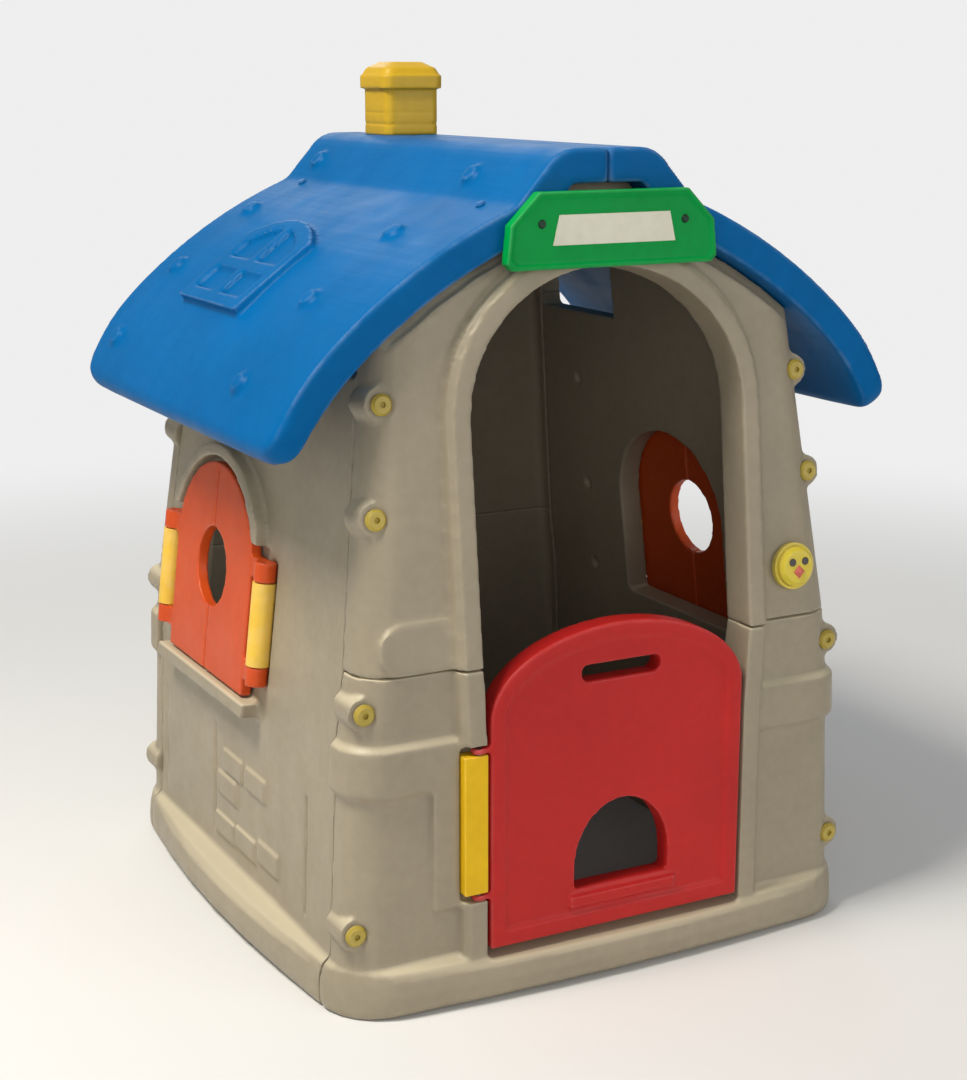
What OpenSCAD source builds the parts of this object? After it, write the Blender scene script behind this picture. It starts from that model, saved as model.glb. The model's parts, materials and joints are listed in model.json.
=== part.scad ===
// Toddler playhouse: blow-moulded wall panels screwed together at the corners,
// a two-piece bell-shaped roof, a half door and two pairs of window shutters.
// Millimetres. X runs to the right along the front, Y to the back, Z up.
// The origin is on the floor, in the middle of the house.

/* [Walls] */
// Half width of the house at the floor
base_half_w = 449; // [440:1:458]
// Half width where the side walls start to lean in
knee_half_w = 431; // [425:1:437]
// Height where the side walls start to lean in
knee_z = 418; // [400:2:430]
// Lean of the side walls above that height, in degrees
side_lean = 6.8; // [6:0.1:7.6]
// Half depth of the house at its end walls
half_d = 463; // [455:1:470]
// Height of the joint between the lower and the upper end panel
seam_z = 521; // [513:1:528]
// Lean of the end walls above that joint, in degrees
end_lean = 6.2; // [5.6:0.1:6.8]
// Thickness of the wall panels
wall_t = 45; // [40:1:48]
// Radius of the upright corners
corner_r = 55; // [50:1:65]
// How far the outer skin of an end wall stops short of the roof
brow_drop = 20; // [14:1:26]
// How far that step goes in behind the wall's face
brow_depth = 22; // [16:1:28]
// How far an end panel wraps round the corner
return_d = 75; // [70:1:85]

/* [Plinth and belt] */
// Height of the bulging plinth at the floor
plinth_h = 79; // [74:1:84]
// Extra radius of the plinth's corners over those of the walls
plinth_corner = 62; // [45:1:75]
// How far the plinth stands out of the end walls
plinth_out = 29; // [24:1:34]
// How far the plinth stands out of the side walls at their corners
plinth_side_out = 21; // [16:1:25]
// Extra bow of the plinth in the middle of the side walls
plinth_bow = 26; // [18:1:32]
// Extra bow of the plinth in the middle of the end walls
plinth_end_bow = 18; // [10:1:24]
// Height of the belt's lower edge on the end walls
belt_z = 336; // [328:2:344]
// Height of the belt
belt_h = 88; // [80:2:94]
// How far the belt stands out
belt_out = 11; // [8:1:14]

/* [Doorway] */
// Half width of the doorway at the half door
door_low_half_w = 227; // [222:1:231]
// Half width of the doorway above the half door
door_open_half_w = 233; // [228:1:238]
// Height of the doorway's threshold
threshold_z = 66; // [60:1:70]
// Height where the doorway's arch springs
door_spring_z = 876; // [868:2:884]
// Height of the top of the doorway's arch
door_open_top_z = 1086; // [1078:2:1094]
// Width of the raised trim round the doorway
trim_w = 40; // [34:1:44]
// How far the trim stands out of the wall
trim_out = 23; // [18:1:26]

/* [Half door] */
// Gap between the door and the doorway at each side
door_gap = 4; // [3:0.5:6]
// Gap under the door
door_floor_gap = 14; // [8:1:18]
// Height where the door's top starts to curve
door_shoulder_z = 438; // [430:1:446]
// Height of the top of the door
door_top_z = 564; // [558:1:570]
// Thickness of the door
door_t = 40; // [34:1:44]
// Width of the door's raised border
door_border = 26; // [20:1:32]
// Length of the hand slot
slot_len = 140; // [130:2:156]
// Height of the hand slot
slot_h = 26; // [22:1:30]
// Height of the hand slot's middle
slot_z = 489; // [484:1:496]
// Half width of the pet opening
pet_half_w = 84; // [76:1:90]
// Height of the pet opening's foot
pet_z = 146; // [140:1:152]
// Height of the pet opening's top
pet_top_z = 280; // [270:1:288]

/* [Door hinge] */
// Height of the hinge block's foot
door_hinge_z = 174; // [168:1:182]
// Length of the hinge block
door_hinge_len = 217; // [200:1:230]
// Thickness of the door's two hinge tabs
tab_t = 9; // [8:0.5:11]
// Radius of the hinge tabs round the pin
tab_r = 12; // [11:0.5:13]
// Radius of all hinge pins
pin_r = 5; // [4:0.5:6]

/* [Windows and shutters] */
// Distance from the left window's middle to the foot of the back wall's face
left_window_back = 356; // [350:1:362]
// Distance from the right window's middle to the foot of the front wall's face
right_window_front = 413; // [390:1:425]
// How much higher the right window sits
right_window_up = 28; // [0:1:34]
// Half width of a window opening
window_half_w = 160; // [154:1:164]
// Height of the window's foot
window_z = 402; // [396:1:408]
// Height where the window's arch springs
window_spring_z = 586; // [578:1:594]
// Rise of the window's arch
window_rise = 142; // [136:1:146]
// How far the shutters overlap the wall round the opening
shutter_lap = 11; // [8:1:14]
// Thickness of a shutter
shutter_t = 20; // [16:1:22]
// Gap between the two shutters of a pair
shutter_gap = 3; // [2:0.5:5]
// Radius of the look-out hole
lookout_r = 66; // [60:1:70]
// Height of the look-out hole's middle
lookout_z = 565; // [556:1:572]
// Distance from the window's middle to a shutter's hinge pin
shutter_pin_off = 212; // [208:1:216]
// Radius of the shutter hinge barrels
barrel_r = 19; // [17:0.5:20]
// Length of a shutter hinge barrel
barrel_len = 134; // [126:1:142]
// Height of the foot of a shutter hinge barrel
barrel_z = 453; // [450:1:458]
// Length of a shutter knuckle above and below the barrel
knuckle_len = 32; // [26:1:34]
// How far the hinge pins stand off the wall
pin_off = 12; // [11:0.5:13]
// How far the hood over a window stands out
hood_out = 26; // [20:1:27]
// Width of the hood over a window
hood_w = 22; // [18:1:26]
// Gap between the hood and the shutters
hood_gap = 9; // [8.5:0.5:12]
// How far the window sill stands out
sill_out = 32; // [28:1:38]
// Height of the window sill
sill_h = 26; // [20:1:30]

/* [Roof] */
// Height of the roof's crest
crest_z = 1258; // [1250:2:1266]
// Thickness of the roof panels
roof_t = 50; // [44:1:54]
// How far the roof's front edge sits behind the foot of the front wall's face
roof_front_set = 36; // [24:1:40]
// How far the roof's back edge sits inside the foot of the back wall's face
roof_back_set = 25; // [16:1:32]
// Half width of the crest's flat
crest_half_w = 55; // [50:1:60]
// Radius beside the crest
crest_r = 56; // [52:1:70]
// Slope of the steep part below the crest, in degrees
steep_deg = 48.6; // [46:0.2:50]
// Length of the steep part
steep_len = 71; // [64:1:78]
// Slope where the curved main slope starts, in degrees
main_deg = 22; // [20:0.5:24]
// Radius of the main slope
main_r = 900; // [860:10:940]
// Slope where the eave's tighter curve starts, in degrees
eave_start_deg = 43; // [41:0.5:45]
// Radius of the eave's curve
eave_r = 450; // [420:5:480]
// Slope at the eave's lip, in degrees
eave_end_deg = 64; // [61:0.5:67]
// Radius of the round corners at the two ends of the eave
eave_corner_r = 50; // [40:2:60]
// Radius of the bumps on the roof
bump_r = 20; // [15:1:23]
// Height of the bumps
bump_h = 9; // [5:1:11]
// Length of the skylight relief along the slope
skylight_len = 205; // [190:5:220]
// Width of the skylight relief
skylight_w = 250; // [230:5:270]
// Height of the skylight relief above the slope
skylight_h = 12; // [10:1:16]

/* [Chimney] */
// Width of the chimney's stack
chimney_w = 101; // [94:1:108]
// Height of the stack
stack_h = 78; // [70:1:86]
// How far the chimney's cap stands out of the stack
cap_out = 7; // [4:1:9]
// Height of the chimney's cap
cap_h = 45; // [38:1:52]
// Distance from the chimney's middle to the foot of the back wall's face
chimney_back = 192; // [160:2:220]

/* [Sign] */
// Half width of the sign at its top
sign_top_half_w = 126; // [120:1:132]
// Half width of the sign at its foot
sign_half_w = 178; // [170:1:186]
// Height of the sign's foot
sign_z = 1089; // [1084:1:1094]
// Height of the sign
sign_h = 110; // [104:1:114]
// Thickness of the sign board
sign_t = 20; // [16:1:24]
// Half width of the bare label plate at its foot
label_half_w = 103; // [98:1:107]
// Height of the label plate
label_h = 43; // [36:1:46]
// Distance of the sign's screws from its middle
sign_screw_x = 121; // [119:1:124]

/* [Screws and doorbell] */
// Heights of the corner screws
screw_z = [133, 470, 749, 910];
// Distance of a corner screw from the side wall's face
screw_inset = 14; // [12:0.5:18]
// Radius of the ears round the corner screws
ear_r = 26; // [23:1:29]
// How far the ears sit behind the end wall's face
ear_set = 15; // [12:1:18]
// Radius of a corner screw's cap
cap_r = 16; // [14:0.5:18]
// Radius of a corner screw's shank
shank_r = 4; // [3:0.5:5]
// How deep the corner screws reach into the side walls
shank_reach = 30; // [24:1:36]
// Distance from the doorbell to the side wall's face
bell_side = 78; // [72:1:84]
// Height of the doorbell
bell_z = 604; // [596:1:612]
// Radius of the doorbell's base
bell_r = 37; // [34:1:38]
// Travel of the doorbell's button
bell_travel = 3; // [2:0.5:4]

/* [Hidden] */
$fn = 48;

wall_color = [0.62, 0.59, 0.52];
roof_color = [0.02, 0.46, 0.72];
yellow = [0.93, 0.74, 0.16];
orange = [0.86, 0.36, 0.16];
red = [0.74, 0.20, 0.18];
green = [0.05, 0.50, 0.28];
cream = [0.86, 0.85, 0.76];

seat = 0.3;            // gap between panels that lie on each other
pin_play = 0.08;       // radial play of a pin in the part that turns on it
hole_play = 0.3;       // radial play of a screw in its hole
barrel_play = 0.5;     // gap round a shutter's barrel in its groove
knuckle_play = 1;      // gap between a knuckle and its barrel
wall_clear = 1;        // gap between a closed shutter and the wall
wall_top_z = crest_z;  // the wall shell runs up to here before the roof cuts it
far = 700;             // reaches past the house from its middle

left_window_off = half_d - left_window_back;      // behind the middle of its wall
right_window_off = half_d - right_window_front;   // in front of the middle of its wall
roof_len = 2 * half_d - roof_front_set - roof_back_set;
roof_shift = (roof_front_set - roof_back_set) / 2;
chimney_y = half_d - chimney_back;
bell_x = half_w(bell_z) - bell_side;

corner_steps = 6;
bow_steps = 6;
arch_steps = 28;

// ---- house envelope ----

flare_deg = atan((base_half_w - knee_half_w) / knee_z);

function half_w(z) = z < knee_z
    ? base_half_w + (knee_half_w - base_half_w) * z / knee_z
    : knee_half_w - (z - knee_z) * tan(side_lean);
function end_d(z) = half_d - max(0, z - seam_z) * tan(end_lean);

function corner(cx, cy, r, a0) =
    [for (i = [0:corner_steps]) let (a = a0 + 90 * i / corner_steps)
        [cx + r * cos(a), cy + r * sin(a)]];
function bowed_side(x, reach, bow, s) =
    [for (i = [1:bow_steps - 1]) let (t = 1 - 2 * i / bow_steps)
        [s * (x + bow * (1 - t * t)), -s * t * reach]];
function bowed_end(y, reach, bow, s) =
    [for (i = [1:bow_steps - 1]) let (t = 1 - 2 * i / bow_steps)
        [s * t * reach, s * (y + bow * (1 - t * t))]];

// A rounded rectangle at height z; bow tells how far its sides and its ends bow out.
function ring(hw, hd, r, bow, z) = [for (p = concat(
    corner(hw - r, hd - r, r, 0),
    bowed_end(hd, hw - r, bow[1], 1),
    corner(r - hw, hd - r, r, 90),
    bowed_side(hw, hd - r, bow[0], -1),
    corner(r - hw, r - hd, r, 180),
    bowed_end(hd, hw - r, bow[1], -1),
    corner(hw - r, r - hd, r, 270),
    bowed_side(hw, hd - r, bow[0], 1))) [p[0], p[1], z]];
function wall_ring(z, grow = 0, z_out = undef) =
    ring(half_w(z) + grow, end_d(z) + grow, corner_r + grow, [0, 0], is_undef(z_out) ? z : z_out);
function plinth_ring(z, part) =
    ring(half_w(z) + plinth_side_out * part, half_d + plinth_out * part, corner_r + plinth_corner * part,
         part * [plinth_bow, plinth_end_bow], z);

// A solid through a stack of rings, closed by a fan at each end.
module loft(rings) {
    n = len(rings[0]);
    top = (len(rings) - 1) * n;
    foot_hub = top + n;
    top_hub = foot_hub + 1;
    polyhedron(
        points = concat([for (r = rings) each r],
                        [[0, 0, rings[0][0][2]], [0, 0, rings[len(rings) - 1][0][2]]]),
        faces = concat(
            [for (i = [0:n - 1]) [foot_hub, i, (i + 1) % n]],
            [for (i = [0:n - 1]) [top_hub, top + (i + 1) % n, top + i]],
            [for (k = [0:len(rings) - 2], i = [0:n - 1]) [k * n + i, (k + 1) * n + i, k * n + (i + 1) % n]],
            [for (k = [0:len(rings) - 2], i = [0:n - 1])
                [k * n + (i + 1) % n, (k + 1) * n + i, (k + 1) * n + (i + 1) % n]]));
}

plinth_rings = [
    plinth_ring(0, 0.4), plinth_ring(5, 0.72), plinth_ring(15, 0.93), plinth_ring(plinth_h * 0.45, 1),
    plinth_ring(plinth_h * 0.72, 0.9), plinth_ring(plinth_h * 0.9, 0.62), plinth_ring(plinth_h, 0.1)];
belt_top_z = belt_z + belt_h;
belt_rings = [
    wall_ring(belt_z), wall_ring(belt_z + belt_out, belt_out),
    wall_ring(belt_top_z - belt_out, belt_out), wall_ring(belt_top_z)];

module shell(belt) {
    difference() {
        loft(concat(plinth_rings, belt ? belt_rings : [wall_ring(plinth_h + 10)],
                    [wall_ring(knee_z + (belt ? belt_out : 0)), wall_ring(seam_z), wall_ring(wall_top_z)]));
        loft([wall_ring(0, -wall_t, -1), wall_ring(knee_z, -wall_t), wall_ring(seam_z, -wall_t),
              wall_ring(wall_top_z + 1, -wall_t)]);
    }
}

// ---- roof profile: crest, steep part, concave kink, main slope, eave ----

kink_r = 40;
profile_steps = 4;

function turn(c, r, a0, a1, n) =
    [for (i = [0:n]) let (a = a0 + (a1 - a0) * i / n) c + r * [sin(a), cos(a)]];
crest_c = [crest_half_w, crest_z - crest_r];
steep_start = crest_c + crest_r * [sin(steep_deg), cos(steep_deg)];
steep_end = steep_start + steep_len * [cos(steep_deg), -sin(steep_deg)];
kink_c = steep_end + kink_r * [sin(steep_deg), cos(steep_deg)];
main_start = kink_c - kink_r * [sin(main_deg), cos(main_deg)];
main_c = main_start - main_r * [sin(main_deg), cos(main_deg)];
eave_start = main_c + main_r * [sin(eave_start_deg), cos(eave_start_deg)];
eave_c = eave_start - eave_r * [sin(eave_start_deg), cos(eave_start_deg)];
lip_c = eave_c + (eave_r - roof_t / 2) * [sin(eave_end_deg), cos(eave_end_deg)];

// The roof's line, t below its upper surface.
function roof_line(t) = concat(
    [[0, crest_z - t]],
    turn(crest_c, crest_r - t, 0, steep_deg, profile_steps),
    turn(kink_c, -(kink_r + t), steep_deg, main_deg, profile_steps),
    turn(main_c, main_r - t, main_deg, eave_start_deg, 2 * profile_steps),
    turn(eave_c, eave_r - t, eave_start_deg, eave_end_deg, 2 * profile_steps));
function reversed(list) = [for (i = [len(list) - 1:-1:0]) list[i]];

module roof_section() {
    polygon(concat(
        roof_line(0),
        turn(lip_c, roof_t / 2, eave_end_deg, eave_end_deg + 180, 2 * profile_steps),
        reversed(roof_line(roof_t))));
}

// Everything that lies under the roof, less a seat.
module under_roof() {
    side = roof_line(roof_t + seat);
    rotate([90, 0, 0])
        linear_extrude(2 * far, center = true)
            polygon(concat(side, [[far, side[len(side) - 1][1]], [far, -10], [-far, -10],
                                  [-far, side[len(side) - 1][1]]],
                           [for (p = reversed(side)) [-p[0], p[1]]]));
}

// ---- places on the walls: X to the viewer's right, Y up, Z out of the wall ----

module lower_front() {
    translate([0, -half_d, 0]) rotate([90, 0, 0]) children();
}
module upper_front() {
    translate([0, -half_d, seam_z]) rotate([90 - end_lean, 0, 0]) children();
}
module lower_left() {
    translate([-base_half_w, 0, 0]) rotate([0, flare_deg, 0]) rotate([90, 0, -90]) children();
}
module upper_left() {
    translate([-knee_half_w, 0, knee_z]) rotate([0, side_lean, 0]) rotate([90, 0, -90]) children();
}
// A window's frame: place is [distance behind the middle, distance up].
left_place = [left_window_off, 0];
right_place = [right_window_off, right_window_up];
module window_frame(place) {
    upper_left() translate([-place[0], place[1], 0]) children();
}
module half_turn() {
    rotate([0, 0, 180]) children();
}

function up_face(z) = (z - seam_z) / cos(end_lean);     // along a leaning end wall
function up_side(z) = (z - knee_z) / cos(side_lean);    // along a leaning side wall

// Puts children at the corner screws on the front; sides lists -1 for left and 1 for right.
module at_screws(rows, sides) {
    for (z = rows, s = sides)
        if (z < seam_z)
            lower_front() translate([s * (half_w(z) - screw_inset), z, 0]) children();
        else
            upper_front() translate([s * (half_w(z) - screw_inset), up_face(z), 0]) children();
}
lower_screws = [for (z = screw_z) if (z < seam_z) z];
upper_screws = [for (z = screw_z) if (z > seam_z) z];

// ---- regions that part the shell into panels ----

// The slab of an end panel, with its return round the corners.
module end_region(gap) {
    rotate([90, 0, 90])
        linear_extrude(2 * far, center = true)
            polygon([[-far, -10], [return_d - half_d - gap, -10], [return_d - half_d - gap, seam_z],
                     [return_d - end_d(wall_top_z) - gap, wall_top_z], [-far, wall_top_z]]);
}
module side_region() {
    difference() {
        translate([-far, -far, -10]) cube([far, 2 * far, wall_top_z + 20]);
        end_region(0);
        half_turn() end_region(0);
    }
}
module below_seam() {
    translate([-far, -far, -10]) cube([2 * far, 2 * far, seam_z + 10 - seat / 2]);
}
module above_seam() {
    translate([-far, -far, seam_z + seat / 2]) cube([2 * far, 2 * far, wall_top_z]);
}

// ---- front and back walls ----

function arch(hw, spring, rise) =
    [for (i = [0:arch_steps]) let (a = 180 * i / arch_steps) [hw * cos(a), spring + rise * sin(a)]];
module arch_shape(hw, foot, spring, rise) {
    polygon(concat(arch(hw, spring, rise), [[-hw, foot], [hw, foot]]));
}

door_rise = (door_open_top_z - door_spring_z) / cos(end_lean);
module doorway_upper(grow) {
    arch_shape(door_open_half_w + grow, -60, up_face(door_spring_z), door_rise + grow);
}
// The ears end a seat short of the side walls.
ear_depth = return_d * cos(end_lean) - seat;
module ears(rows) {
    at_screws(rows, [-1, 1]) translate([0, 0, -ear_depth]) cylinder(h = ear_depth - ear_set, r = ear_r);
}
module screw_holes(rows) {
    at_screws(rows, [-1, 1]) {
        translate([0, 0, -return_d - 1]) cylinder(h = return_d, r = shank_r + hole_play);
        translate([0, 0, -ear_set]) cylinder(h = wall_t, r = cap_r + 1);
    }
}

// Two steps make the trim's rounded section.
trim_step = 8;
module trim_upper() {
    difference() {
        union() {
            translate([0, 0, -wall_t / 2])
                linear_extrude(wall_t / 2 + trim_out - trim_step) doorway_upper(trim_w);
            linear_extrude(trim_out) doorway_upper(trim_w - trim_step);
        }
        translate([0, 0, -wall_t]) linear_extrude(2 * wall_t + trim_out) doorway_upper(0);
    }
}
taper_z = 400;
module doorway_lower(grow, foot) {
    low = door_low_half_w + grow;
    top = door_open_half_w + grow;
    polygon([[-low, foot], [low, foot], [low, taper_z],
             [top, seam_z + 1], [-top, seam_z + 1], [-low, taper_z]]);
}
module trim_lower() {
    difference() {
        union() {
            translate([0, 0, -wall_t / 2])
                linear_extrude(wall_t / 2 + trim_out - trim_step) doorway_lower(trim_w, plinth_h / 2);
            linear_extrude(trim_out) doorway_lower(trim_w - trim_step, plinth_h / 2);
        }
        translate([0, 0, -wall_t]) linear_extrude(2 * wall_t + trim_out) doorway_lower(0, 0);
    }
}

// A half-round pad beside the trim, standing on the seam.
pad_h = 76;
pad_w = 118;
pad_out = 4;
module pocket_pad() {
    x = -door_open_half_w - trim_w;
    translate([x - pad_w + pad_h / 2, pad_h / 2, -5]) cylinder(h = pad_out + 5, r = pad_h / 2);
    translate([x - pad_w + pad_h / 2, -5, -5]) cube([pad_w - pad_h / 2 + 5, pad_h + 5, pad_out + 5]);
}

// The step in an end wall's top edge: the outer skin stops short of the roof's main slopes.
module brow() {
    t = roof_t + brow_drop;
    line = concat(turn(main_c, main_r - t, main_deg, eave_start_deg, profile_steps),
                  turn(eave_c, eave_r - t, eave_start_deg + 1, eave_end_deg, profile_steps));
    above = [[far, line[len(line) - 1][1]], [far, crest_z], [line[0][0], crest_z]];
    for (s = [-1, 1])
        intersection() {
            upper_front() translate([-knee_half_w - 5, 5, -brow_depth])
                cube([2 * knee_half_w + 10, crest_z - seam_z, brow_depth + wall_t]);
            rotate([90, 0, 0]) linear_extrude(2 * far, center = true)
                polygon([for (p = concat(line, above)) [s * p[0], p[1]]]);
        }
}

// Lugs inside the top of an end wall that take the roof screws.
lug_w = 64;
lug_d = 50;
lug_z = 1070;
module roof_lugs() {
    inner_y = wall_t - end_d(lug_z);
    for (s = [-1, 1])
        translate([s * (main_start[0] - lug_w / 4) - lug_w / 2, inner_y - 5, lug_z])
            cube([lug_w, lug_d, crest_z - lug_z]);
}

module front_wall_upper() {
    color(wall_color) difference() {
        union() {
            intersection() {
                union() {
                    shell(true);
                    upper_front() trim_upper();
                    upper_front() pocket_pad();
                }
                end_region(seat);
                above_seam();
                under_roof();
            }
            intersection() {
                union() {
                    ears(upper_screws);
                    roof_lugs();
                }
                under_roof();
            }
        }
        roof_screw_holes();
        brow();
        upper_front() translate([0, 0, -far / 2]) linear_extrude(far) doorway_upper(0);
        screw_holes(upper_screws);
    }
}

stile_foot_z = 154;
stile_w = 46;
module hinge_stile() {
    translate([-door_low_half_w - trim_w - stile_w + 1, stile_foot_z, -5])
        cube([stile_w, belt_z + 20 - stile_foot_z, 5 + belt_out]);
}

// The notch in the left trim that takes the hinge block and the door's two tabs.
notch_gap = 2;
notch_z = door_hinge_z - tab_t - 2 * notch_gap;
notch_len = door_hinge_len + 2 * tab_t + 4 * notch_gap;
module front_wall_lower() {
    color(wall_color) difference() {
        union() {
            intersection() {
                union() {
                    shell(true);
                    lower_front() trim_lower();
                    lower_front() hinge_stile();
                }
                end_region(seat);
                below_seam();
            }
            ears(lower_screws);
        }
        lower_front() translate([0, 0, -far / 2]) linear_extrude(far) doorway_lower(0, threshold_z);
        translate([-door_low_half_w - trim_w - seat, -far, notch_z])
            cube([trim_w + 2 * seat, far - hinge_back_y, notch_len]);
        screw_holes(lower_screws);
    }
}

// The back wall carries a blind arched window in relief.
blind_half_w = 150;
blind_foot_z = 608;
blind_spring_z = 788;
blind_rise = 130;
blind_out = 7;
blind_bar = 22;
module blind_window() {
    foot = up_face(blind_foot_z);
    spring = up_face(blind_spring_z);
    linear_extrude(blind_out) difference() {
        arch_shape(blind_half_w, foot, spring, blind_rise);
        difference() {
            arch_shape(blind_half_w - blind_bar, foot + blind_bar, spring, blind_rise - blind_bar);
            translate([-blind_bar / 2, 0]) square([blind_bar, far]);
            translate([-blind_half_w, (foot + spring) / 2 + blind_bar])
                square([2 * blind_half_w, blind_bar]);
        }
    }
}

module back_wall_upper() {
    color(wall_color) difference() {
        half_turn() back_upper_panel();
        roof_screw_holes();
    }
}
module back_upper_panel() {
    difference() {
        union() {
            intersection() {
                union() {
                    shell(true);
                    upper_front() translate([0, 0, -0.5]) blind_window();
                }
                end_region(seat);
                above_seam();
                under_roof();
            }
            intersection() {
                union() {
                    ears(upper_screws);
                    roof_lugs();
                }
                under_roof();
            }
        }
        brow();
        screw_holes(upper_screws);
    }
}

module back_wall_lower() {
    color(wall_color) half_turn() difference() {
        union() {
            intersection() {
                shell(true);
                end_region(seat);
                below_seam();
            }
            ears(lower_screws);
        }
        screw_holes(lower_screws);
    }
}

// ---- side walls ----

window_foot = up_side(window_z);
window_spring = up_side(window_spring_z);
module window_shape(grow) {
    arch_shape(window_half_w + grow, window_foot - grow, window_spring, window_rise + grow);
}
hood_lift = 52;
module hood() {
    lap = shutter_lap + hood_gap;
    intersection() {
        translate([0, 0, -5]) linear_extrude(5 + hood_out) difference() {
            window_shape(lap + hood_w);
            window_shape(lap);
        }
        translate([-far, window_spring + hood_lift, -far]) cube([2 * far, far, 2 * far]);
    }
}
sill_gap = 3;
sill_half_w = 205;
module sill() {
    translate([-sill_half_w, window_foot - shutter_lap - sill_gap - sill_h, -10])
        cube([2 * sill_half_w, sill_h, 10 + sill_out]);
}
module barrel_grooves() {
    foot = up_side(barrel_z) - knuckle_len - 2 * knuckle_play;
    groove_len = barrel_len + 2 * knuckle_len + 4 * knuckle_play;
    for (s = [-1, 1])
        translate([s * shutter_pin_off, foot, pin_off])
            rotate([-90, 0, 0]) cylinder(h = groove_len, r = barrel_r + barrel_play);
}

// Loose bricks in relief between two upright grooves on the lower side wall.
brick = [86, 36, 6];
bricks = [[-62, 228], [40, 228], [-88, 182], [-94, 108], [0, 112], [98, 122], [98, 44]];
wall_grooves = [return_d + 26 - half_d, -113, half_d - return_d - 108];
groove_w = 9;
groove_depth = 7;
module brick_relief() {
    for (b = bricks) translate([b[0], b[1], -2]) cube([brick[0], brick[1], brick[2] + 2]);
}
groove_foot = 22;
groove_head = 38;
module upright_grooves() {
    for (x = wall_grooves)
        translate([x, plinth_h + groove_foot, -groove_depth])
            cube([groove_w, belt_z - plinth_h - groove_foot - groove_head, 3 * groove_depth]);
}

module shank_hole() {
    translate([0, 0, -return_d - shank_reach - 2]) cylinder(h = shank_reach + 10, r = shank_r + hole_play);
}
module side_screw_holes() {
    at_screws(screw_z, [-1]) shank_hole();
    half_turn() at_screws(screw_z, [1]) shank_hole();
}

// Dimples on the inner face, where the panel's two skins are pinched together.
tack_cols = [return_d + 58 - half_d, half_d - return_d - 158];
tack_rows = [455, 613, 815];
tack_r = 12;
tack_depth = 12;
module tack_dimples() {
    upper_left() for (x = tack_cols, z = tack_rows)
        translate([x, up_side(z), -wall_t - 1]) cylinder(h = tack_depth + 1, r1 = tack_r, r2 = tack_r / 3);
}

// An air vent under the eaves, in one half of each side wall's top.
vent_z = 938;
vent_near = 85;
vent_end = 50;
module roof_vent() {
    vent_far = half_d - return_d - vent_end;
    translate([-far, -vent_far, vent_z]) cube([far, vent_far - vent_near, far]);
}

module side_wall(place) {
    color(wall_color) difference() {
        union() {
            intersection() {
                shell(false);
                side_region();
                under_roof();
            }
            window_frame(place) hood();
            window_frame(place) sill();
            lower_left() brick_relief();
        }
        window_frame(place) translate([0, 0, -2 * wall_t]) linear_extrude(3 * wall_t) window_shape(0);
        window_frame(place) barrel_grooves();
        lower_left() upright_grooves();
        side_screw_holes();
        tack_dimples();
        roof_vent();
    }
}
module left_wall() {
    side_wall(left_place);
}
module right_wall() {
    half_turn() side_wall(right_place);
}

// ---- shutters, their barrels and pins ----

shutter_half_w = window_half_w + shutter_lap;
shutter_front = wall_clear + shutter_t;
knuckle_foot = up_side(barrel_z) - knuckle_len - knuckle_play;
knuckle_top = up_side(barrel_z) + barrel_len + knuckle_play;

// The leaf whose hinge is on the viewer's right; the other one is its mirror image.
module shutter_leaf() {
    difference() {
        union() {
            translate([0, 0, wall_clear]) linear_extrude(shutter_t) intersection() {
                window_shape(shutter_lap);
                translate([shutter_gap / 2, -far]) square([far, 2 * far]);
            }
            for (foot = [knuckle_foot, knuckle_top]) {
                translate([shutter_pin_off, foot, pin_off]) rotate([-90, 0, 0])
                    cylinder(h = knuckle_len, r = barrel_r - knuckle_play);
                translate([shutter_half_w - 20, foot, wall_clear])
                    cube([shutter_pin_off - shutter_half_w + 20, knuckle_len, shutter_t - 1]);
            }
        }
        translate([0, up_side(lookout_z), -far / 2]) cylinder(h = far, r = lookout_r);
        translate([shutter_pin_off, -far / 2, pin_off])
            rotate([-90, 0, 0]) cylinder(h = far, r = pin_r + pin_play);
    }
}
module leaf_right_hand(place) {
    color(orange) window_frame(place) shutter_leaf();
}
module leaf_left_hand(place) {
    color(orange) window_frame(place) mirror([1, 0, 0]) shutter_leaf();
}
module barrel(place, s) {
    color(yellow) window_frame(place) difference() {
        translate([s * shutter_pin_off, up_side(barrel_z), pin_off]) rotate([-90, 0, 0])
            cylinder(h = barrel_len, r = barrel_r);
        translate([s * shutter_pin_off, -far / 2, pin_off]) rotate([-90, 0, 0])
            cylinder(h = far, r = pin_r + pin_play);
    }
}
module pin_pair(place) {
    for (s = [-1, 1])
        window_frame(place) translate([s * shutter_pin_off, knuckle_foot + 2, pin_off]) rotate([-90, 0, 0])
            cylinder(h = knuckle_top - knuckle_foot + knuckle_len - 4, r = pin_r);
}

module shutter_left_front() {
    leaf_right_hand(left_place);
}
module shutter_left_rear() {
    leaf_left_hand(left_place);
}
module shutter_right_front() {
    half_turn() leaf_left_hand(right_place);
}
module shutter_right_rear() {
    half_turn() leaf_right_hand(right_place);
}
module barrel_left_front() {
    barrel(left_place, 1);
}
module barrel_left_rear() {
    barrel(left_place, -1);
}
module barrel_right_front() {
    half_turn() barrel(right_place, -1);
}
module barrel_right_rear() {
    half_turn() barrel(right_place, 1);
}
module shutter_hinge_pins() {
    color("silver") {
        pin_pair(left_place);
        half_turn() pin_pair(right_place);
    }
}

// ---- half door, its hinge block and pin ----

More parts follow.
